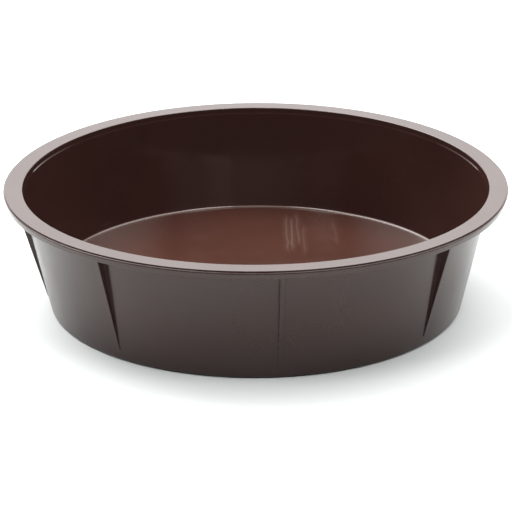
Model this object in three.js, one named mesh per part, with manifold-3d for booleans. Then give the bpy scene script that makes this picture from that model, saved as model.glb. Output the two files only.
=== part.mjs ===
// Shallow round feed bucket (feed pan) for stable use, injection moulded in one piece.
//
// The pan is one plastic shell: a flat raised floor, a wall that widens upwards, a flat rim with a
// down-turned lip, a foot ring that the wall makes by running on below the floor, and eight thin
// gusset ribs that stiffen the rim from below. A low bead runs round the rim's edge, where the mould
// parts. The pan has no separate parts.
//
// Millimetres and degrees. The origin is the centre of the base, on the floor it stands on. +Z is up.

import * as THREE from 'three';
import { mergeVertices } from 'three/addons/utils/BufferGeometryUtils.js';
import Module from 'manifold-3d';

// Driving dimensions
const RIM_DIAMETER = 400;
const HEIGHT = 100;
const BASE_DIAMETER = 329;
const WALL_TAPER = 12.75; // degrees from the vertical
const WALL_THICKNESS = 2;
const INSIDE_DEPTH = 82.5;
const FLOOR_THICKNESS = 2.5;

// Rim: a flat ring, a lip that hangs from it, and between them, a step below the ring, a low bead
// that runs round the outside where the mould parts
const RIM_THICKNESS = 2.5;
const LIP_DEPTH = 7;
const LIP_THICKNESS = 2.5;
const LIP_DRAFT = 1; // how far the lip leans in on its way down, so that the mould lets go
const BEAD_STEP = 1.1; // how far the bead's top is below the ring
const BEAD_THICKNESS = 0.9;
const BEAD_WIDTH = 1.2; // from the ring's edge
const BEAD_OVERHANG = 0.5; // beyond the lip

// Foot ring: the stretch of wall below the floor, thicker where it meets the ground
const FOOT_WIDTH = 4.6;
const FOOT_DRAFT = 0.5;

// Gusset ribs: thin upright triangles, each thinner towards its foot so that the mould lets go
const RIB_COUNT = 8;
const FIRST_RIB_ANGLE = 6; // degrees from +X
const RIB_FOOT_HEIGHT = 10;
const RIB_TOP_DEPTH = 6.9;
const RIB_FOOT_DEPTH = 0.6;
const RIB_TOP_THICKNESS = 4.3;
const RIB_FOOT_THICKNESS = 2.4;
const RIB_ROOT = 1; // how far a rib runs into the wall and rim that it joins

// Mark left by the injection point, under the middle of the floor
const GATE_DIMPLE_RADIUS = 8;
const GATE_DIMPLE_DEPTH = 1;
const GATE_STUB_RADIUS = 2;
const GATE_STUB_LENGTH = 0.8;

// Radii of the rounded edges
const BASE_EDGE_RADIUS = 2.6;
const FLOOR_FILLET_RADIUS = 2.2;
const RIM_INNER_RADIUS = 0.8;
const LIP_EDGE_RADIUS = 0.9;
const INNER_CORNER_RADIUS = 1;

const RING_SEGMENTS = 72;
const ARC_STEPS = 3;

const SLOPE = Math.tan(THREE.MathUtils.degToRad(WALL_TAPER));
const WALL_SECTION = WALL_THICKNESS / Math.cos(THREE.MathUtils.degToRad(WALL_TAPER));
const RIM_RADIUS = RIM_DIAMETER / 2;
const FLOOR_TOP = HEIGHT - INSIDE_DEPTH;
const FLOOR_UNDERSIDE = FLOOR_TOP - FLOOR_THICKNESS;
const RIM_UNDERSIDE = HEIGHT - RIM_THICKNESS;

const outerWall = (z) => BASE_DIAMETER / 2 + z * SLOPE;
const innerWall = (z) => outerWall(z) - WALL_SECTION;

// One corner of an outline, with the radius that rounds it (0 leaves it sharp).
const corner = (r, z, radius = 0) => ({ at: new THREE.Vector2(r, z), radius });

// Turns a list of corners into outline points, with an arc in place of each rounded corner.
function roundedOutline(corners) {
  const points = [];
  corners.forEach(({ at, radius }, i) => {
    if (radius === 0) {
      points.push(at.clone());
      return;
    }
    const toPrevious = corners[i - 1].at.clone().sub(at).normalize();
    const toNext = corners[i + 1].at.clone().sub(at).normalize();
    const halfAngle = Math.acos(toPrevious.dot(toNext)) / 2;
    const bisector = toPrevious.clone().add(toNext).normalize();
    const centre = at.clone().addScaledVector(bisector, radius / Math.sin(halfAngle));
    const start = at.clone().addScaledVector(toPrevious, radius / Math.tan(halfAngle));
    const from = start.sub(centre);
    const turn = (Math.PI - 2 * halfAngle) * Math.sign(toNext.cross(toPrevious));
    for (let step = 0; step <= ARC_STEPS; step += 1) {
      const spoke = from.clone().rotateAround(new THREE.Vector2(), (turn * step) / ARC_STEPS);
      points.push(centre.clone().add(spoke));
    }
  });
  return points;
}

// The pan's section, from the axis under the floor, out and up the outside, and back down the inside.
function panOutline() {
  const dimpleTop = FLOOR_UNDERSIDE + GATE_DIMPLE_DEPTH;
  const stubEnd = dimpleTop - GATE_STUB_LENGTH;
  const footInside = BASE_DIAMETER / 2 - FOOT_WIDTH;
  const lipOutside = RIM_RADIUS - BEAD_OVERHANG;
  const lipInside = lipOutside - LIP_THICKNESS;
  const lipBottom = HEIGHT - LIP_DEPTH;
  const lipEnd = lipOutside - LIP_DRAFT;
  const beadTop = HEIGHT - BEAD_STEP;
  const beadBottom = beadTop - BEAD_THICKNESS;
  const ringOutside = RIM_RADIUS - BEAD_WIDTH;
  return roundedOutline([
    corner(0, stubEnd),
    corner(GATE_STUB_RADIUS, stubEnd),
    corner(GATE_STUB_RADIUS, dimpleTop),
    corner(GATE_DIMPLE_RADIUS, dimpleTop),
    corner(GATE_DIMPLE_RADIUS, FLOOR_UNDERSIDE),
    corner(footInside - FOOT_DRAFT, FLOOR_UNDERSIDE, INNER_CORNER_RADIUS),
    corner(footInside, 0),
    corner(outerWall(0), 0, BASE_EDGE_RADIUS),
    corner(outerWall(RIM_UNDERSIDE), RIM_UNDERSIDE, INNER_CORNER_RADIUS),
    corner(lipInside, RIM_UNDERSIDE, INNER_CORNER_RADIUS),
    corner(lipInside - LIP_DRAFT, lipBottom),
    corner(lipEnd, lipBottom, LIP_EDGE_RADIUS),
    corner(lipOutside, beadBottom),
    corner(RIM_RADIUS, beadBottom),
    corner(RIM_RADIUS, beadTop),
    corner(ringOutside, beadTop),
    corner(ringOutside, HEIGHT),
    corner(innerWall(HEIGHT), HEIGHT, RIM_INNER_RADIUS),
    corner(innerWall(FLOOR_TOP), FLOOR_TOP, FLOOR_FILLET_RADIUS),
    corner(0, FLOOR_TOP),
  ]);
}

// The shell without its ribs, turned about +Z.
function panGeometry() {
  const geometry = new THREE.LatheGeometry(panOutline(), RING_SEGMENTS);
  geometry.rotateX(Math.PI / 2);
  return geometry;
}

// One gusset rib on the +X side. Its side outline is cut as a plate one unit thick, and the plate is
// then widened to the thickness that the rib has at each height.
function ribGeometry() {
  const top = RIM_UNDERSIDE + RIB_ROOT;
  const side = new THREE.Shape([
    new THREE.Vector2(outerWall(RIB_FOOT_HEIGHT) - RIB_ROOT, RIB_FOOT_HEIGHT),
    new THREE.Vector2(outerWall(RIB_FOOT_HEIGHT) + RIB_FOOT_DEPTH, RIB_FOOT_HEIGHT),
    new THREE.Vector2(outerWall(top) + RIB_TOP_DEPTH, top),
    new THREE.Vector2(outerWall(top) - RIB_ROOT, top),
  ]);
  const geometry = new THREE.ExtrudeGeometry(side, { depth: 1, bevelEnabled: false });
  geometry.translate(0, 0, -0.5);
  geometry.rotateX(Math.PI / 2);
  const position = geometry.getAttribute('position');
  for (let i = 0; i < position.count; i += 1) {
    const rise = (position.getZ(i) - RIB_FOOT_HEIGHT) / (top - RIB_FOOT_HEIGHT);
    const thickness = THREE.MathUtils.lerp(RIB_FOOT_THICKNESS, RIB_TOP_THICKNESS, rise);
    position.setY(i, position.getY(i) * thickness);
  }
  return geometry;
}

const wasm = await Module();
wasm.setup();

// A closed three.js geometry as a manifold solid, without the empty triangles at a lathe's axis.
function toSolid(geometry) {
  const bare = geometry.clone();
  bare.deleteAttribute('normal');
  bare.deleteAttribute('uv');
  const merged = mergeVertices(bare, 1e-4);
  const index = Array.from(merged.index.array);
  const triangles = [];
  for (let i = 0; i < index.length; i += 3) {
    const [a, b, c] = index.slice(i, i + 3);
    if (a !== b && b !== c && c !== a) {
      triangles.push(a, b, c);
    }
  }
  return new wasm.Manifold(new wasm.Mesh({
    numProp: 3,
    vertProperties: new Float32Array(merged.getAttribute('position').array),
    triVerts: new Uint32Array(triangles),
  }));
}

// A manifold solid as a three.js geometry.
function toGeometry(solid) {
  const mesh = solid.getMesh();
  const geometry = new THREE.BufferGeometry();
  geometry.setAttribute('position', new THREE.BufferAttribute(mesh.vertProperties, 3));
  geometry.setIndex(new THREE.BufferAttribute(mesh.triVerts, 1));
  geometry.computeVertexNormals();
  return geometry;
}

// The whole moulding: the shell with its ribs joined on.
function mouldedPan() {
  let solid = toSolid(panGeometry());
  for (let i = 0; i < RIB_COUNT; i += 1) {
    const angle = FIRST_RIB_ANGLE + (i * 360) / RIB_COUNT;
    const rib = ribGeometry().rotateZ(THREE.MathUtils.degToRad(angle));
    solid = solid.add(toSolid(rib));
  }
  return toGeometry(solid);
}

const brownPlastic = new THREE.MeshStandardMaterial({ color: 0x4a342e, roughness: 0.32, metalness: 0 });

const pan = new THREE.Mesh(mouldedPan(), brownPlastic);
pan.name = 'moulded_pan';

const feedBucket = new THREE.Group();
feedBucket.add(pan);

export default feedBucket;
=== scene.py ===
"""Feed bucket: a shallow round feed pan for stable use, injection moulded in one piece.

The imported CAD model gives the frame: the rim's radius, the height and the place. This script makes
the fine surface of the same moulding, with its rounded edges, drafted ribs and slight unevenness,
gives it a dark brown plastic, and sets up the floor, the light and the camera.

Metres and radians, with degrees only for the directions of the lights. The origin is the centre of
the base, and +Z is up.
"""

import math
from collections import namedtuple

import bpy
from mathutils import Matrix, Vector, noise


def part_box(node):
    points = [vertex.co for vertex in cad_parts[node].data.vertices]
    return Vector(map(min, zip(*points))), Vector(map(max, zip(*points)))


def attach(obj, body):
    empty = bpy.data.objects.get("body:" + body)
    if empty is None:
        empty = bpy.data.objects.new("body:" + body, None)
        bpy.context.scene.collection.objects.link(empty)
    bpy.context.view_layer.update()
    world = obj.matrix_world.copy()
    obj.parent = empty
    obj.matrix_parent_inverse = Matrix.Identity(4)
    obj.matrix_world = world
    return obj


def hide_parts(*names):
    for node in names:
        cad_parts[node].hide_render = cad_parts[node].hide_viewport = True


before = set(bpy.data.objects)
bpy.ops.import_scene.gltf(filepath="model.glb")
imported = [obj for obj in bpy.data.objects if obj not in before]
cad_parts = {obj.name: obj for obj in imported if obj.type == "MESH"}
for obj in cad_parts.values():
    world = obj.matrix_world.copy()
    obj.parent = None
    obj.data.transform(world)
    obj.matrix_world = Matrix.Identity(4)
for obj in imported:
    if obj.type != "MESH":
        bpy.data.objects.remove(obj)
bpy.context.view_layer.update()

MM = 0.001
CAD_NODE = "moulded_pan"

# ---------------------------------------------------------------------------------------------
# Dimensions of the pan
# ---------------------------------------------------------------------------------------------

cad_low, cad_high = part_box(CAD_NODE)
RIM_RADIUS = (cad_high[0] - cad_low[0]) / 2
HEIGHT = cad_high[2] - cad_low[2]

BASE_RADIUS = 164.5 * MM
WALL_TAPER = math.radians(12.75)
WALL_THICKNESS = 2 * MM
INSIDE_DEPTH = 82.5 * MM
FLOOR_THICKNESS = 2.5 * MM

# Rim: a flat ring, a lip that hangs from it, and between them, a step below the ring, a low bead
# that runs round the outside where the mould parts. A fine groove sets the bead off on either side.
RIM_THICKNESS = 2.5 * MM
LIP_DEPTH = 7 * MM
LIP_THICKNESS = 2.5 * MM
LIP_DRAFT = 1 * MM
BEAD_STEP = 1.1 * MM
BEAD_THICKNESS = 0.9 * MM
BEAD_WIDTH = 1.2 * MM
BEAD_OVERHANG = 0.5 * MM
BEAD_ROUNDING = 0.35 * MM
RING_EDGE = 0.3 * MM
GROOVE_DEPTH = 0.5 * MM
GROOVE_HEIGHT = 0.5 * MM

# Foot ring: the stretch of wall below the floor
FOOT_WIDTH = 4.6 * MM
FOOT_DRAFT = 0.5 * MM

# Faint shoulder inside, just below the rim: the wall is a touch thicker from there down
SHOULDER_DEPTH = 4 * MM
SHOULDER_HEIGHT = 0.9 * MM
SHOULDER_WIDTH = 0.25 * MM
SHOULDER_RADIUS = 0.8 * MM

# Gusset ribs: thin upright triangles, each thinner towards its foot. A rib's rounded edges take at
# most RIB_ROUNDING_SHARE of its depth each, and RIB_MARGIN is the wall meshed along with it.
RIB_COUNT = 8
FIRST_RIB_ANGLE = math.radians(6)
RIB_FOOT_HEIGHT = 10 * MM
RIB_FOOT_SLOPE = 0.6 * MM
RIB_TOP_DEPTH = 6.9 * MM
RIB_FOOT_DEPTH = 0.6 * MM
RIB_TOP_THICKNESS = 4.3 * MM
RIB_FOOT_THICKNESS = 2.4 * MM
RIB_ROOT_RADIUS = 0.2 * MM
RIB_EDGE_RADIUS = 0.35 * MM
RIB_ROUNDING_SHARE = 0.45
RIB_MARGIN = 1.5 * MM
RIB_RUNS_INTO_RIM = 1 * MM
RIB_TOP_HEIGHT = HEIGHT - RIM_THICKNESS + RIB_RUNS_INTO_RIM

# Injection point under the middle of the floor
GATE_DIMPLE_RADIUS = 8 * MM
GATE_DIMPLE_DEPTH = 1 * MM
GATE_STUB_RADIUS = 2 * MM
GATE_STUB_LENGTH = 0.8 * MM

# Radii of the rounded edges
BASE_EDGE_RADIUS = 2.6 * MM
FLOOR_FILLET_RADIUS = 2.2 * MM
RIM_INNER_RADIUS = 0.8 * MM
LIP_EDGE_RADIUS = 0.9 * MM
INNER_CORNER_RADIUS = 1 * MM
SMALL_EDGE_RADIUS = 0.5 * MM
STEP_EDGE_RADIUS = 0.15 * MM

# How far the rim has sunk at the +X and -X sides as the moulding cooled
RIM_WARP = 1.9 * MM

# Unevenness of the moulded surface: the height and length of its waves. The waves come in sets, each
# WAVE_RATIO times as fine as the last, and lower by WAVE_RATIO to the power of WAVE_FALLOFF.
WAVE_HEIGHT = 0.05 * MM
WAVE_LENGTH = 45 * MM
WAVE_FALLOFF = 1
WAVE_RATIO = 2
WAVE_SETS = 2

# Fineness of the mesh: steps of a rounded corner, columns between two ribs, and steps along half of
# a rib's outline, in the curve at its root, up its side and in the curve at its edge
ARC_STEPS = 5
GAP_COLUMNS = 18
RIB_ROOT_STEPS = 4
RIB_SIDE_STEPS = 3
RIB_EDGE_STEPS = 3

# How closely the columns that come up the wall have gathered where they reach a rib's foot, as a
# share of the way to the rib's own outline
COLUMN_GATHER = 0.85

# Edges that turn by more than this are shaded sharp
SHARP_ANGLE = math.radians(40)

FLOOR_TOP = HEIGHT - INSIDE_DEPTH
FLOOR_UNDERSIDE = FLOOR_TOP - FLOOR_THICKNESS
RIM_UNDERSIDE = HEIGHT - RIM_THICKNESS
WALL_SECTION = WALL_THICKNESS / math.cos(WALL_TAPER)


def outer_wall(height):
    """Radius of the wall's outer face at a height."""
    return BASE_RADIUS + height * math.tan(WALL_TAPER)


def inner_wall(height):
    """Radius of the wall's inner face at a height."""
    return outer_wall(height) - WALL_SECTION


def below_shoulder(height):
    """Radius of the inner face below the shoulder."""
    return inner_wall(height) - SHOULDER_WIDTH


def lerp(start, end, share):
    """The value a share of the way from start to end."""
    return start + (end - start) * share


def smooth(share):
    """Eases a share from 0 to 1."""
    return share * share * (3 - 2 * share)


# ---------------------------------------------------------------------------------------------
# The pan's section
# ---------------------------------------------------------------------------------------------

# How polished the mould left each face
SATIN = 0
RIM_GLOSS = 0.2
INNER_EDGE_GLOSS = 0.5
POLISHED = 1

# One corner of the section. The straight that follows it is a stretch with a name, a number of steps
# and a gloss.
Corner = namedtuple("Corner", "radius height rounding stretch steps gloss")

# One ring of the mesh. along is how far it is along its stretch, and the last field is 1 in the
# middle of a rounded edge, where it is rubbed and where a painted edge highlight goes.
Ring = namedtuple("Ring", "radius height stretch along gloss wear")


def section_corners():
    """From the axis under the floor, out and up the outside, and back down the inside to the axis."""
    dimple_top = FLOOR_UNDERSIDE + GATE_DIMPLE_DEPTH
    stub_end = dimple_top - GATE_STUB_LENGTH
    foot_inside = BASE_RADIUS - FOOT_WIDTH
    lip_outside = RIM_RADIUS - BEAD_OVERHANG
    lip_inside = lip_outside - LIP_THICKNESS
    lip_bottom = HEIGHT - LIP_DEPTH
    lip_end = lip_outside - LIP_DRAFT
    bead_top = HEIGHT - BEAD_STEP
    bead_bottom = bead_top - BEAD_THICKNESS
    ring_outside = RIM_RADIUS - BEAD_WIDTH
    rib_foot = RIB_FOOT_HEIGHT - RIB_FOOT_SLOPE
    shoulder_top = HEIGHT - SHOULDER_DEPTH
    shoulder_foot = shoulder_top - SHOULDER_HEIGHT
    return [
        Corner(0, stub_end, 0, "stub", 1, SATIN),
        Corner(GATE_STUB_RADIUS, stub_end, STEP_EDGE_RADIUS, "stub", 1, SATIN),
        Corner(GATE_STUB_RADIUS, dimple_top, STEP_EDGE_RADIUS, "dimple", 2, SATIN),
        Corner(GATE_DIMPLE_RADIUS, dimple_top, STEP_EDGE_RADIUS, "dimple", 1, SATIN),
        Corner(GATE_DIMPLE_RADIUS, FLOOR_UNDERSIDE, STEP_EDGE_RADIUS, "underside", 20, SATIN),
        Corner(foot_inside - FOOT_DRAFT, FLOOR_UNDERSIDE, INNER_CORNER_RADIUS, "foot", 4, SATIN),
        Corner(foot_inside, 0, SMALL_EDGE_RADIUS, "foot", 2, SATIN),
        Corner(outer_wall(0), 0, BASE_EDGE_RADIUS, "wall_foot", 4, SATIN),
        Corner(outer_wall(rib_foot), rib_foot, 0, "rib_foot", 4, SATIN),
        Corner(outer_wall(RIB_FOOT_HEIGHT), RIB_FOOT_HEIGHT, 0, "rib", 30, SATIN),
        Corner(outer_wall(RIM_UNDERSIDE), RIM_UNDERSIDE, INNER_CORNER_RADIUS, "under_rim", 5, SATIN),
        Corner(lip_inside, RIM_UNDERSIDE, INNER_CORNER_RADIUS, "lip", 2, SATIN),
        Corner(lip_inside - LIP_DRAFT, lip_bottom, SMALL_EDGE_RADIUS, "lip", 1, SATIN),
        Corner(lip_end, lip_bottom, LIP_EDGE_RADIUS, "lip", 4, RIM_GLOSS),
        Corner(lip_outside, bead_bottom - GROOVE_HEIGHT, STEP_EDGE_RADIUS, "groove", 1, RIM_GLOSS),
        Corner(lip_outside - GROOVE_DEPTH, bead_bottom, STEP_EDGE_RADIUS, "groove", 1, RIM_GLOSS),
        Corner(RIM_RADIUS, bead_bottom, BEAD_ROUNDING, "bead", 1, RIM_GLOSS),
        Corner(RIM_RADIUS, bead_top, BEAD_ROUNDING, "bead", 1, RIM_GLOSS),
        Corner(ring_outside - GROOVE_DEPTH, bead_top, STEP_EDGE_RADIUS, "groove", 1, RIM_GLOSS),
        Corner(ring_outside, HEIGHT - RING_EDGE, STEP_EDGE_RADIUS, "ring_edge", 1, RIM_GLOSS),
        Corner(ring_outside, HEIGHT, STEP_EDGE_RADIUS, "rim", 5, RIM_GLOSS),
        Corner(inner_wall(HEIGHT), HEIGHT, RIM_INNER_RADIUS, "inner_wall", 2, INNER_EDGE_GLOSS),
        Corner(inner_wall(shoulder_top), shoulder_top, SHOULDER_RADIUS, "shoulder", 1, POLISHED),
        Corner(below_shoulder(shoulder_foot), shoulder_foot, SHOULDER_RADIUS, "inner_wall", 26, POLISHED),
        Corner(below_shoulder(FLOOR_TOP), FLOOR_TOP, FLOOR_FILLET_RADIUS, "floor", 26, POLISHED),
        Corner(0, FLOOR_TOP, 0, "floor", 1, POLISHED),
    ]


def corner_arc(before, corner, after):
    """Points of the arc that rounds a corner, or the corner itself where it is left sharp."""
    at = Vector((corner.radius, corner.height))
    if corner.rounding == 0:
        return [at]
    to_before = (Vector((before.radius, before.height)) - at).normalized()
    to_after = (Vector((after.radius, after.height)) - at).normalized()
    half_angle = to_before.angle(to_after) / 2
    centre = at + (to_before + to_after).normalized() * corner.rounding / math.sin(half_angle)
    spoke = at + to_before * corner.rounding / math.tan(half_angle) - centre
    turn = (math.pi - 2 * half_angle) * math.copysign(1, to_after.cross(to_before))
    arc = []
    for step in range(ARC_STEPS + 1):
        arc.append(centre + Matrix.Rotation(turn * step / ARC_STEPS, 2) @ spoke)
    return arc


def section_rings():
    """All rings of the mesh but the two points on the axis."""
    corners = section_corners()
    before = [corners[-1]] + corners[:-1]
    after = corners[1:] + [corners[0]]
    arcs = [corner_arc(*three) for three in zip(before, corners, after)]
    rings = []
    for previous, corner, arc, next_arc in zip([corners[0]] + corners, corners, arcs, arcs[1:]):
        for i, point in enumerate(arc):
            share = i / (len(arc) - 1) if len(arc) > 1 else 0
            gloss = lerp(previous.gloss, corner.gloss, share)
            # Rubbed wear, partly a painted edge highlight, is strongest in the middle of each rounded
            # edge
            wear = math.sin(math.pi * share)
            rings.append(Ring(point.x, point.y, corner.stretch, 0, gloss, wear))
        start, end = arc[-1], next_arc[0]
        for step in range(1, corner.steps):
            share = step / corner.steps
            point = start.lerp(end, share)
            rings.append(Ring(point.x, point.y, corner.stretch, share, corner.gloss, 0))
    return rings[1:]


# ---------------------------------------------------------------------------------------------
# Ribs, and the pan's mesh
# ---------------------------------------------------------------------------------------------


def rib_outline(height):
    """A rib's cross-section at a height, as (across, out) pairs from one side to the other."""
    rise = (max(height, RIB_FOOT_HEIGHT) - RIB_FOOT_HEIGHT) / (RIB_TOP_HEIGHT - RIB_FOOT_HEIGHT)
    depth = lerp(RIB_FOOT_DEPTH, RIB_TOP_DEPTH, rise)
    half = lerp(RIB_FOOT_THICKNESS, RIB_TOP_THICKNESS, rise) / 2
    root = min(RIB_ROOT_RADIUS, RIB_ROUNDING_SHARE * depth)
    edge = min(RIB_EDGE_RADIUS, RIB_ROUNDING_SHARE * depth)
    side = [(half + root + RIB_MARGIN, 0)]
    for step in range(RIB_ROOT_STEPS + 1):
        turn = math.pi / 2 * step / RIB_ROOT_STEPS
        side.append((half + root * (1 - math.sin(turn)), root * (1 - math.cos(turn))))
    for step in range(1, RIB_SIDE_STEPS):
        side.append((half, lerp(root, depth - edge, step / RIB_SIDE_STEPS)))
    for step in range(RIB_EDGE_STEPS + 1):
        turn = math.pi / 2 * step / RIB_EDGE_STEPS
        side.append((half - edge * (1 - math.cos(turn)), depth - edge * (1 - math.sin(turn))))
    other_side = [(-across, out) for across, out in reversed(side)]
    return side + [(0, depth)] + other_side


def rib_hold(ring):
    """How far a ring's points follow the rib's outline, and how much of its depth they take."""
    if ring.stretch == "wall_foot":
        return COLUMN_GATHER * smooth(ring.along), 0
    if ring.stretch == "rib_foot":
        return lerp(COLUMN_GATHER, 1, ring.along), smooth(ring.along)
    if ring.stretch == "rib":
        return 1, 1
    if ring.stretch == "under_rim":
        return 1 - ring.along, 1 - ring.along
    return 0, 0


def unevenness(point):
    """Low, wide waves of a moulded surface, in metres."""
    place = Vector(point) / WAVE_LENGTH
    return WAVE_HEIGHT * noise.fractal(place, WAVE_FALLOFF, WAVE_RATIO, WAVE_SETS)


def ring_points(ring):
    """The points of one ring, all round the pan."""
    outline = rib_outline(ring.height)
    hold, depth_share = rib_hold(ring)
    widest = max(across for across, _ in rib_outline(RIB_TOP_HEIGHT)) / outer_wall(RIB_TOP_HEIGHT)
    rib_spacing = math.tau / RIB_COUNT
    points = []
    for rib in range(RIB_COUNT):
        middle = FIRST_RIB_ANGLE + rib * rib_spacing
        for i, (across, out) in enumerate(outline):
            plain_turn = lerp(-widest, widest, i / (len(outline) - 1))
            radius = ring.radius + out * depth_share
            rib_turn = -across / radius
            points.append((radius, middle + lerp(plain_turn, rib_turn, hold)))
        gap_start = middle + widest
        gap_end = middle + rib_spacing - widest
        for i in range(1, GAP_COLUMNS):
            points.append((ring.radius, lerp(gap_start, gap_end, i / GAP_COLUMNS)))
    return [(r * math.cos(turn), r * math.sin(turn), ring.height) for r, turn in points]


def warped(point):
    """A point off the axis of the true round pan, moved to where the cooled moulding has it."""
    x, y, z = point
    sideways = x * x / (x * x + y * y)
    return (x, y, z - RIM_WARP * sideways * z / HEIGHT)


def uneven_points(ring, points):
    """Lets the wide faces wander a little, square to their own surface, but not above the rim."""
    upright = ring.stretch in ("rib", "inner_wall", "wall_foot", "rib_foot")
    level = ring.stretch in ("floor", "underside", "rim")
    moved = []
    for x, y, z in points:
        offset = unevenness((x, y, z))
        if upright:
            scale = 1 + offset / ring.radius
            moved.append((x * scale, y * scale, z))
        elif level:
            moved.append((x, y, min(z + offset, HEIGHT)))
        else:
            moved.append((x, y, z))
    return moved


def pan_faces(ring_count, ring_size):
    """Faces between the rings, and fans from the first and last ring to the points on the axis."""
    faces = []
    last_ring = 1 + (ring_count - 1) * ring_size
    last_point = last_ring + ring_size
    for i in range(ring_size):
        j = (i + 1) % ring_size
        faces.append((0, 1 + j, 1 + i))
        for here in range(1, last_ring, ring_size):
            after = here + ring_size
            faces.append((here + i, here + j, after + j, after + i))
        faces.append((last_ring + i, last_ring + j, last_point))
    return faces


def make_pan():
    """The whole moulding as one closed mesh, with its gloss, and its wear with a painted edge highlight,
    at each point.
    """
    rings = section_rings()
    points = [(0, 0, section_corners()[0].height)]
    gloss = [SATIN]
    wear = [0]
    for ring in rings:
        on_ring = [warped(point) for point in uneven_points(ring, ring_points(ring))]
        points.extend(on_ring)
        gloss.extend([ring.gloss] * len(on_ring))
        wear.extend([ring.wear] * len(on_ring))
    points.append((0, 0, FLOOR_TOP + unevenness((0, 0, FLOOR_TOP))))
    gloss.append(POLISHED)
    wear.append(0)

    mesh = bpy.data.meshes.new("pan_moulding")
    mesh.from_pydata(points, [], pan_faces(len(rings), len(on_ring)))
    mesh.shade_smooth()
    mesh.set_sharp_from_angle(angle=SHARP_ANGLE)
    for name, values in (("gloss", gloss), ("wear", wear)):
        attribute = mesh.attributes.new(name, "FLOAT", "POINT")
        attribute.data.foreach_set("value", values)
    pan = bpy.data.objects.new("pan_moulding", mesh)
    bpy.context.scene.collection.objects.link(pan)
    normals = pan.modifiers.new("flat_faces_stay_flat", "WEIGHTED_NORMAL")
    normals.keep_sharp = True
    return pan


# ---------------------------------------------------------------------------------------------
# Materials
# ---------------------------------------------------------------------------------------------

# Linear colours: the plastic's darker and lighter clouds, the same on the inside floor painted paler for
# its top light, its rubbed edges with a painted edge highlight, and painted reflection streaks on the
# floor
PLASTIC_DARK = (0.0225, 0.0094, 0.0078)
PLASTIC_LIGHT = (0.0275, 0.0116, 0.0096)
PAINTED_LIT_FLOOR_DARK = (0.0340, 0.0138, 0.0102)
PAINTED_LIT_FLOOR_LIGHT = (0.0400, 0.0158, 0.0116)
RUBBED_AND_HIGHLIGHT_COLOUR = (0.060, 0.036, 0.030)
PAINTED_STREAK_REFLECTION = (0.17, 0.13, 0.11)

OUTSIDE_ROUGHNESS = 0.22
INSIDE_ROUGHNESS = 0.09
SMEAR_ROUGHNESS = (-0.035, 0.045)
RUBBED_ROUGHNESS = 0.25
STREAK_ROUGHNESS = 0.3
PLASTIC_IOR = 1.5
REFLECTION_TINT = (1.0, 0.92, 0.88)

# A cloudy pattern: how many features it has to a metre, how many finer levels, how strong those are
# against the coarse one, and how far it is bent out of shape
Pattern = namedtuple("Pattern", "scale detail roughness distortion", defaults=(2, 0.5, 0))

# Pigment: wide clouds with a few fine specks, and where the pattern is darkest and lightest
CLOUDS = Pattern(9, 3, 0.5, 0.6)
SPECKS = Pattern(420)
CLOUD_SHARE = 0.85
SPECK_SHARE = 0.15
PIGMENT_RANGE = (0.35, 0.65)

# Patches where the edges are rubbed and carry a painted edge highlight, and smears that change the
# roughness
RUBBED_PATCHES = Pattern(70, 4)
RUBBED_RANGE = (0.42, 0.7)
RUBBED_STRENGTH = 0.55
SMEARS = Pattern(26, 5, 0.6, 0.4)
SMEAR_RANGE = (0.3, 0.7)

# Relief: fine grain, upright draw marks from when the pan slid off its mould, and orange peel
GRAIN = Pattern(700, 1)
DRAW_MARKS = Pattern(500, 1)
DRAW_MARK_STRETCH = (1, 1, 0.03)
DRAW_MARK_SHARE = 0.5
PEEL = Pattern(160, 1)

# Heights of the relief, and how strongly it shows
GRAIN_HEIGHT = 0.02 * MM
POLISHED_GRAIN_STRENGTH = 0.01
SATIN_GRAIN_STRENGTH = 0.03
PEEL_HEIGHT = 0.01 * MM
PEEL_STRENGTH = 0.6

# Thin wavy streaks of painted reflection on the inside floor: the middle of each, half its length
# along Y, how far it leans to +X for each metre along Y, and how strongly its painted reflection shows
Streak = namedtuple("Streak", "x y half_length lean film")
STREAKS = (
    Streak(25.8 * MM, 102 * MM, 52 * MM, -0.01, 0.16),
    Streak(30.0 * MM, 100 * MM, 46 * MM, 0.0, 0.20),
    Streak(34.8 * MM, 112 * MM, 46 * MM, -0.03, 0.15),
    Streak(39.8 * MM, 86 * MM, 42 * MM, 0.0, 0.10),
    Streak(66.0 * MM, 104 * MM, 36 * MM, -0.05, 0.07),
)
STREAK_HALF_WIDTH = 0.35 * MM
STREAK_FADE = 1.2 * MM
STREAK_HAZE_WIDTH = 4.8 * MM
STREAK_HAZE_SHARE = 0.3
STREAK_WIGGLE = 3.2 * MM

# The wiggles of all streaks come from one pattern, read at places that are this many times as far
# apart as the streaks
WIGGLES = Pattern(55, 1)
WIGGLE_SPACING = 100

# How far from the inside floor's height its painted lighter tone and painted reflection streaks
# begin to fade
PAINTED_FLOOR_REACH = 0.5 * MM

PAPER_COLOUR = (0.492, 0.508, 0.504)
PAPER_ROUGHNESS = 0.9
PAPER_SPECULAR = 0.2
PAPER_TOOTH = Pattern(300)
PAPER_TOOTH_HEIGHT = 0.05 * MM
PAPER_TOOTH_STRENGTH = 0.1


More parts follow.
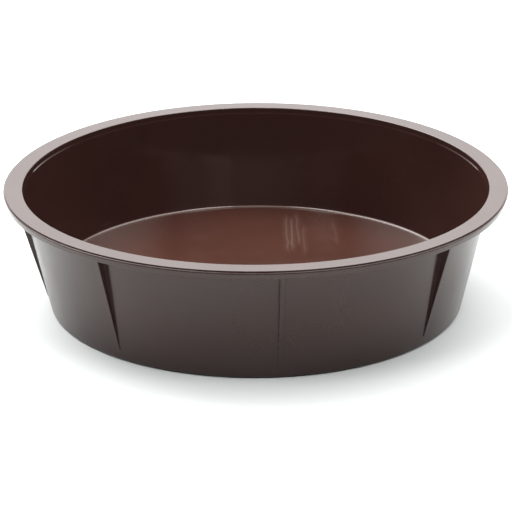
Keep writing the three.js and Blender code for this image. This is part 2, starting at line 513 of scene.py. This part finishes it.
class Nodes:
    """Builds one node tree: each method adds a node and gives back its output."""

    def __init__(self, tree):
        self.tree = tree
        tree.nodes.clear()

    def add(self, kind, inputs=None, output=0, **settings):
        """Adds any node. An input's value is another node's output, or a number, colour or vector."""
        node = self.tree.nodes.new(kind)
        for name, value in settings.items():
            setattr(node, name, value)
        for name, value in (inputs or {}).items():
            if isinstance(value, bpy.types.NodeSocket):
                self.tree.links.new(value, node.inputs[name])
            else:
                node.inputs[name].default_value = value
        return node.outputs[output] if node.outputs else None

    def maths(self, operation, *values, clamp=False):
        """Works out one number from one, two or three."""
        inputs = dict(enumerate(values))
        return self.add("ShaderNodeMath", inputs, operation=operation, use_clamp=clamp)

    def blend(self, share, start, end):
        """Mixes two numbers."""
        return self.add("ShaderNodeMix", {"Factor": share, "A": start, "B": end}, data_type="FLOAT")

    def blend_colour(self, share, start, end):
        """Mixes two colours. Sockets 6 and 7 are the mix node's colours, and output 2 their mix."""
        start, end = [(*c, 1) if isinstance(c, tuple) else c for c in (start, end)]
        inputs = {"Factor": share, 6: start, 7: end}
        return self.add("ShaderNodeMix", inputs, output=2, data_type="RGBA")

    def spread(self, value, low, high, to_low=0.0, to_high=1.0):
        """Maps a range of values to another, easing at both ends."""
        inputs = {
            "Value": value,
            "From Min": low,
            "From Max": high,
            "To Min": to_low,
            "To Max": to_high,
        }
        return self.add("ShaderNodeMapRange", inputs, interpolation_type="SMOOTHSTEP")

    def noise(self, place, pattern):
        """A cloudy pattern's number at a place. The numbers lie round 0.5."""
        inputs = {
            "Vector": place,
            "Scale": pattern.scale,
            "Detail": pattern.detail,
            "Roughness": pattern.roughness,
            "Distortion": pattern.distortion,
        }
        return self.add("ShaderNodeTexNoise", inputs)

    def relief(self, pattern, height, strength, below=None):
        """A normal that follows a pattern in relief, on top of another relief if there is one."""
        inputs = {"Strength": strength, "Distance": height, "Height": pattern}
        if below is not None:
            inputs["Normal"] = below
        return self.add("ShaderNodeBump", inputs)

    def attribute(self, name):
        """A number that the mesh holds at each point."""
        return self.add("ShaderNodeAttribute", output="Fac", attribute_name=name)

    def place(self):
        """Where a point is on the object, in metres."""
        return self.add("ShaderNodeTexCoord", output="Object")


def on_inside_floor(nodes, place, gloss):
    """1 on the inside floor, fading to 0 on its fillet, and 0 elsewhere."""
    height = nodes.add("ShaderNodeSeparateXYZ", {"Vector": place}, output="Z")
    away = nodes.maths("ABSOLUTE", nodes.maths("SUBTRACT", height, FLOOR_TOP))
    at_floor_height = nodes.spread(away, PAINTED_FLOOR_REACH, FLOOR_FILLET_RADIUS, 1.0, 0.0)
    return nodes.maths("MULTIPLY", at_floor_height, gloss)


def painted_reflection_streaks(nodes, place):
    """How strongly the painted reflection streaks show at a point of the inside floor."""
    x, y, _ = nodes.add("ShaderNodeSeparateXYZ", {"Vector": place}).node.outputs
    film = 0.0
    for streak in STREAKS:
        wiggle_place = nodes.add("ShaderNodeCombineXYZ", {"X": WIGGLE_SPACING * streak.x, "Y": y})
        wiggle = nodes.maths("SUBTRACT", nodes.noise(wiggle_place, WIGGLES), 0.5)
        from_middle = nodes.maths("SUBTRACT", y, streak.y)
        middle = nodes.maths("MULTIPLY_ADD", from_middle, streak.lean, streak.x)
        middle = nodes.maths("MULTIPLY_ADD", wiggle, STREAK_WIGGLE, middle)
        sideways = nodes.maths("ABSOLUTE", nodes.maths("SUBTRACT", x, middle))
        lengthways = nodes.maths("ABSOLUTE", from_middle)
        line = nodes.spread(sideways, STREAK_HALF_WIDTH, STREAK_FADE, 1.0, 0.0)
        haze = nodes.spread(sideways, STREAK_FADE, STREAK_HAZE_WIDTH, STREAK_HAZE_SHARE, 0.0)
        ends = nodes.spread(lengthways, streak.half_length / 2, streak.half_length, streak.film, 0.0)
        share = nodes.maths("MULTIPLY", nodes.maths("MAXIMUM", line, haze), ends)
        film = nodes.maths("MAXIMUM", film, share)
    return film


def brown_plastic():
    """Moulded polypropylene: satin outside, more polished inside; painted edge highlights on its rubbed
    edges, painted top light on the inside floor and painted reflection streaks there.
    """
    material = bpy.data.materials.new("moulded_brown_plastic")
    material.use_nodes = True
    nodes = Nodes(material.node_tree)
    place = nodes.place()
    gloss = nodes.attribute("gloss")

    pigment = nodes.maths("MULTIPLY", nodes.noise(place, CLOUDS), CLOUD_SHARE)
    pigment = nodes.maths("MULTIPLY_ADD", nodes.noise(place, SPECKS), SPECK_SHARE, pigment)
    pigment = nodes.spread(pigment, *PIGMENT_RANGE)
    main_colour = nodes.blend_colour(pigment, PLASTIC_DARK, PLASTIC_LIGHT)
    # Painted light: the inside floor gets a paler colour that stands in for the light falling on it from
    # above
    painted_lit_floor_colour = nodes.blend_colour(pigment, PAINTED_LIT_FLOOR_DARK, PAINTED_LIT_FLOOR_LIGHT)
    on_floor = on_inside_floor(nodes, place, gloss)
    colour = nodes.blend_colour(on_floor, main_colour, painted_lit_floor_colour)

    # Rubbed edges, partly a painted edge highlight: a lighter colour in patches along the middle of every
    # rounded edge
    patches = nodes.spread(nodes.noise(place, RUBBED_PATCHES), *RUBBED_RANGE)
    rubbed_and_highlight = nodes.maths("MULTIPLY", nodes.attribute("wear"), patches)
    rubbed_and_highlight = nodes.maths("MULTIPLY", rubbed_and_highlight, RUBBED_STRENGTH)
    colour = nodes.blend_colour(rubbed_and_highlight, colour, RUBBED_AND_HIGHLIGHT_COLOUR)

    # Painted reflection: light wavy streaks on the inside floor, made a little rougher there
    film = nodes.maths("MULTIPLY", painted_reflection_streaks(nodes, place), on_floor)
    colour = nodes.blend_colour(film, colour, PAINTED_STREAK_REFLECTION)

    smears = nodes.spread(nodes.noise(place, SMEARS), *SMEAR_RANGE, *SMEAR_ROUGHNESS)
    roughness = nodes.blend(gloss, OUTSIDE_ROUGHNESS, INSIDE_ROUGHNESS)
    roughness = nodes.maths("ADD", roughness, smears)
    roughness = nodes.maths("MULTIPLY_ADD", rubbed_and_highlight, RUBBED_ROUGHNESS, roughness)
    roughness = nodes.maths("MULTIPLY_ADD", film, STREAK_ROUGHNESS, roughness, clamp=True)

    stretched = nodes.add("ShaderNodeMapping", {"Vector": place, "Scale": DRAW_MARK_STRETCH})
    draw_marks = nodes.noise(stretched, DRAW_MARKS)
    fine = nodes.maths("MULTIPLY_ADD", draw_marks, DRAW_MARK_SHARE, nodes.noise(place, GRAIN))
    strength = nodes.blend(gloss, SATIN_GRAIN_STRENGTH, POLISHED_GRAIN_STRENGTH)
    relief = nodes.relief(fine, GRAIN_HEIGHT, strength)
    relief = nodes.relief(nodes.noise(place, PEEL), PEEL_HEIGHT, PEEL_STRENGTH, relief)

    shader = nodes.add(
        "ShaderNodeBsdfPrincipled",
        {
            "Base Color": colour,
            "Roughness": roughness,
            "IOR": PLASTIC_IOR,
            "Specular Tint": (*REFLECTION_TINT, 1),
            "Normal": relief,
        },
    )
    nodes.add("ShaderNodeOutputMaterial", {"Surface": shader})
    return material


def floor_paper():
    """Matt pale paper with a faint tooth."""
    material = bpy.data.materials.new("floor_paper")
    material.use_nodes = True
    nodes = Nodes(material.node_tree)
    tooth = nodes.noise(nodes.place(), PAPER_TOOTH)
    shader = nodes.add(
        "ShaderNodeBsdfPrincipled",
        {
            "Base Color": (*PAPER_COLOUR, 1),
            "Roughness": PAPER_ROUGHNESS,
            "Specular IOR Level": PAPER_SPECULAR,
            "Normal": nodes.relief(tooth, PAPER_TOOTH_HEIGHT, PAPER_TOOTH_STRENGTH),
        },
    )
    nodes.add("ShaderNodeOutputMaterial", {"Surface": shader})
    return material


# ---------------------------------------------------------------------------------------------
# Floor, light and camera
# ---------------------------------------------------------------------------------------------

# The sheet of paper that is the studio's floor: its width, and how far below the pan it lies
FLOOR_SIZE = 60
FLOOR_DROP = 0.2 * MM

# The studio's light: round glows on a dark dome. Each has a direction, a core of full brightness
# and an edge where it has faded out. The angles are in degrees: azimuth 0 is along +X, and core and
# edge are measured from the middle of the glow.
STUDIO_FILL = 0.03
Glow = namedtuple("Glow", "azimuth elevation core edge radiance")
GLOWS = (
    Glow(90, 12, 30, 60, 2.75),  # white backdrop
    Glow(140, 4, 10, 30, 1.0),  # reflector low behind, left
    Glow(40, 4, 10, 30, 1.0),  # reflector low behind, right
    Glow(90, 55, 15, 35, 3.0),  # large softbox over the back
    Glow(130, 50, 10, 25, 9.8),  # softbox over the back, left
    Glow(50, 50, 10, 25, 2.0),  # softbox over the back, right
    Glow(165, 50, 12, 32, 5.8),  # large softbox high on the left
    Glow(10, 55, 12, 32, 5.4),  # large softbox high on the right
    Glow(-90, 68, 8, 22, 1.6),  # small softbox over the camera
    Glow(-138, 58, 8, 13, 16.0),  # softbox, front left
    Glow(-50, 59, 8, 13, 13.5),  # softbox, front right
    Glow(90, 88, 15, 35, 2.3),  # ceiling
)

# Camera, in front of the pan: its distance and elevation from the middle of the rim, how far it
# looks down and how far it is turned about its own axis, and its lens and sensor in millimetres
CAMERA_DISTANCE = 2.4
CAMERA_ELEVATION = math.radians(19.54)
CAMERA_PITCH = math.radians(20.97)
CAMERA_ROLL = math.radians(-0.21)
CAMERA_LENS = 212.6
CAMERA_SENSOR = 36


def make_floor():
    """The studio's floor, a hair below the pan so that the two don't touch."""
    half = FLOOR_SIZE / 2
    corners = [(-half, -half), (half, -half), (half, half), (-half, half)]
    mesh = bpy.data.meshes.new("studio_floor")
    mesh.from_pydata([(x, y, -FLOOR_DROP) for x, y in corners], [], [(0, 1, 2, 3)])
    mesh.materials.append(floor_paper())
    floor = bpy.data.objects.new("studio_floor", mesh)
    bpy.context.scene.collection.objects.link(floor)
    return floor


def direction_to(azimuth, elevation):
    """Unit vector to a direction given in degrees, with azimuth 0 along +X."""
    rise = Matrix.Rotation(-math.radians(elevation), 3, "Y")
    swing = Matrix.Rotation(math.radians(azimuth), 3, "Z")
    return swing @ rise @ Vector((1, 0, 0))


def light_studio():
    """A dark dome with the glows added on it."""
    world = bpy.data.worlds.new("studio")
    world.use_nodes = True
    bpy.context.scene.world = world
    nodes = Nodes(world.node_tree)
    direction = nodes.add("ShaderNodeTexCoord", output="Generated")
    level = STUDIO_FILL
    for glow in GLOWS:
        inputs = {0: direction, 1: direction_to(glow.azimuth, glow.elevation)}
        nearness = nodes.add("ShaderNodeVectorMath", inputs, output="Value", operation="DOT_PRODUCT")
        core = math.cos(math.radians(glow.core))
        edge = math.cos(math.radians(glow.edge))
        level = nodes.maths("ADD", level, nodes.spread(nearness, edge, core, 0.0, glow.radiance))
    shader = nodes.add("ShaderNodeBackground", {"Strength": level})
    nodes.add("ShaderNodeOutputWorld", {"Surface": shader})


def add_camera():
    """The camera, in front of the pan and looking down at it."""
    data = bpy.data.cameras.new("camera")
    data.sensor_width = CAMERA_SENSOR
    data.lens = CAMERA_LENS
    camera = bpy.data.objects.new("camera", data)
    camera.location = (
        0,
        -CAMERA_DISTANCE * math.cos(CAMERA_ELEVATION),
        HEIGHT + CAMERA_DISTANCE * math.sin(CAMERA_ELEVATION),
    )
    tilt = Matrix.Rotation(math.pi / 2 - CAMERA_PITCH, 3, "X")
    camera.rotation_euler = (tilt @ Matrix.Rotation(CAMERA_ROLL, 3, "Z")).to_euler()
    bpy.context.scene.collection.objects.link(camera)
    bpy.context.scene.camera = camera


def main():
    """Sets up the studio and puts the finished pan in it."""
    bpy.context.scene.view_settings.view_transform = "Standard"
    add_camera()
    light_studio()
    floor = make_floor()

    pan = make_pan()
    pan.data.materials.append(brown_plastic())
    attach(pan, "root")
    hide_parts(CAD_NODE)


main()
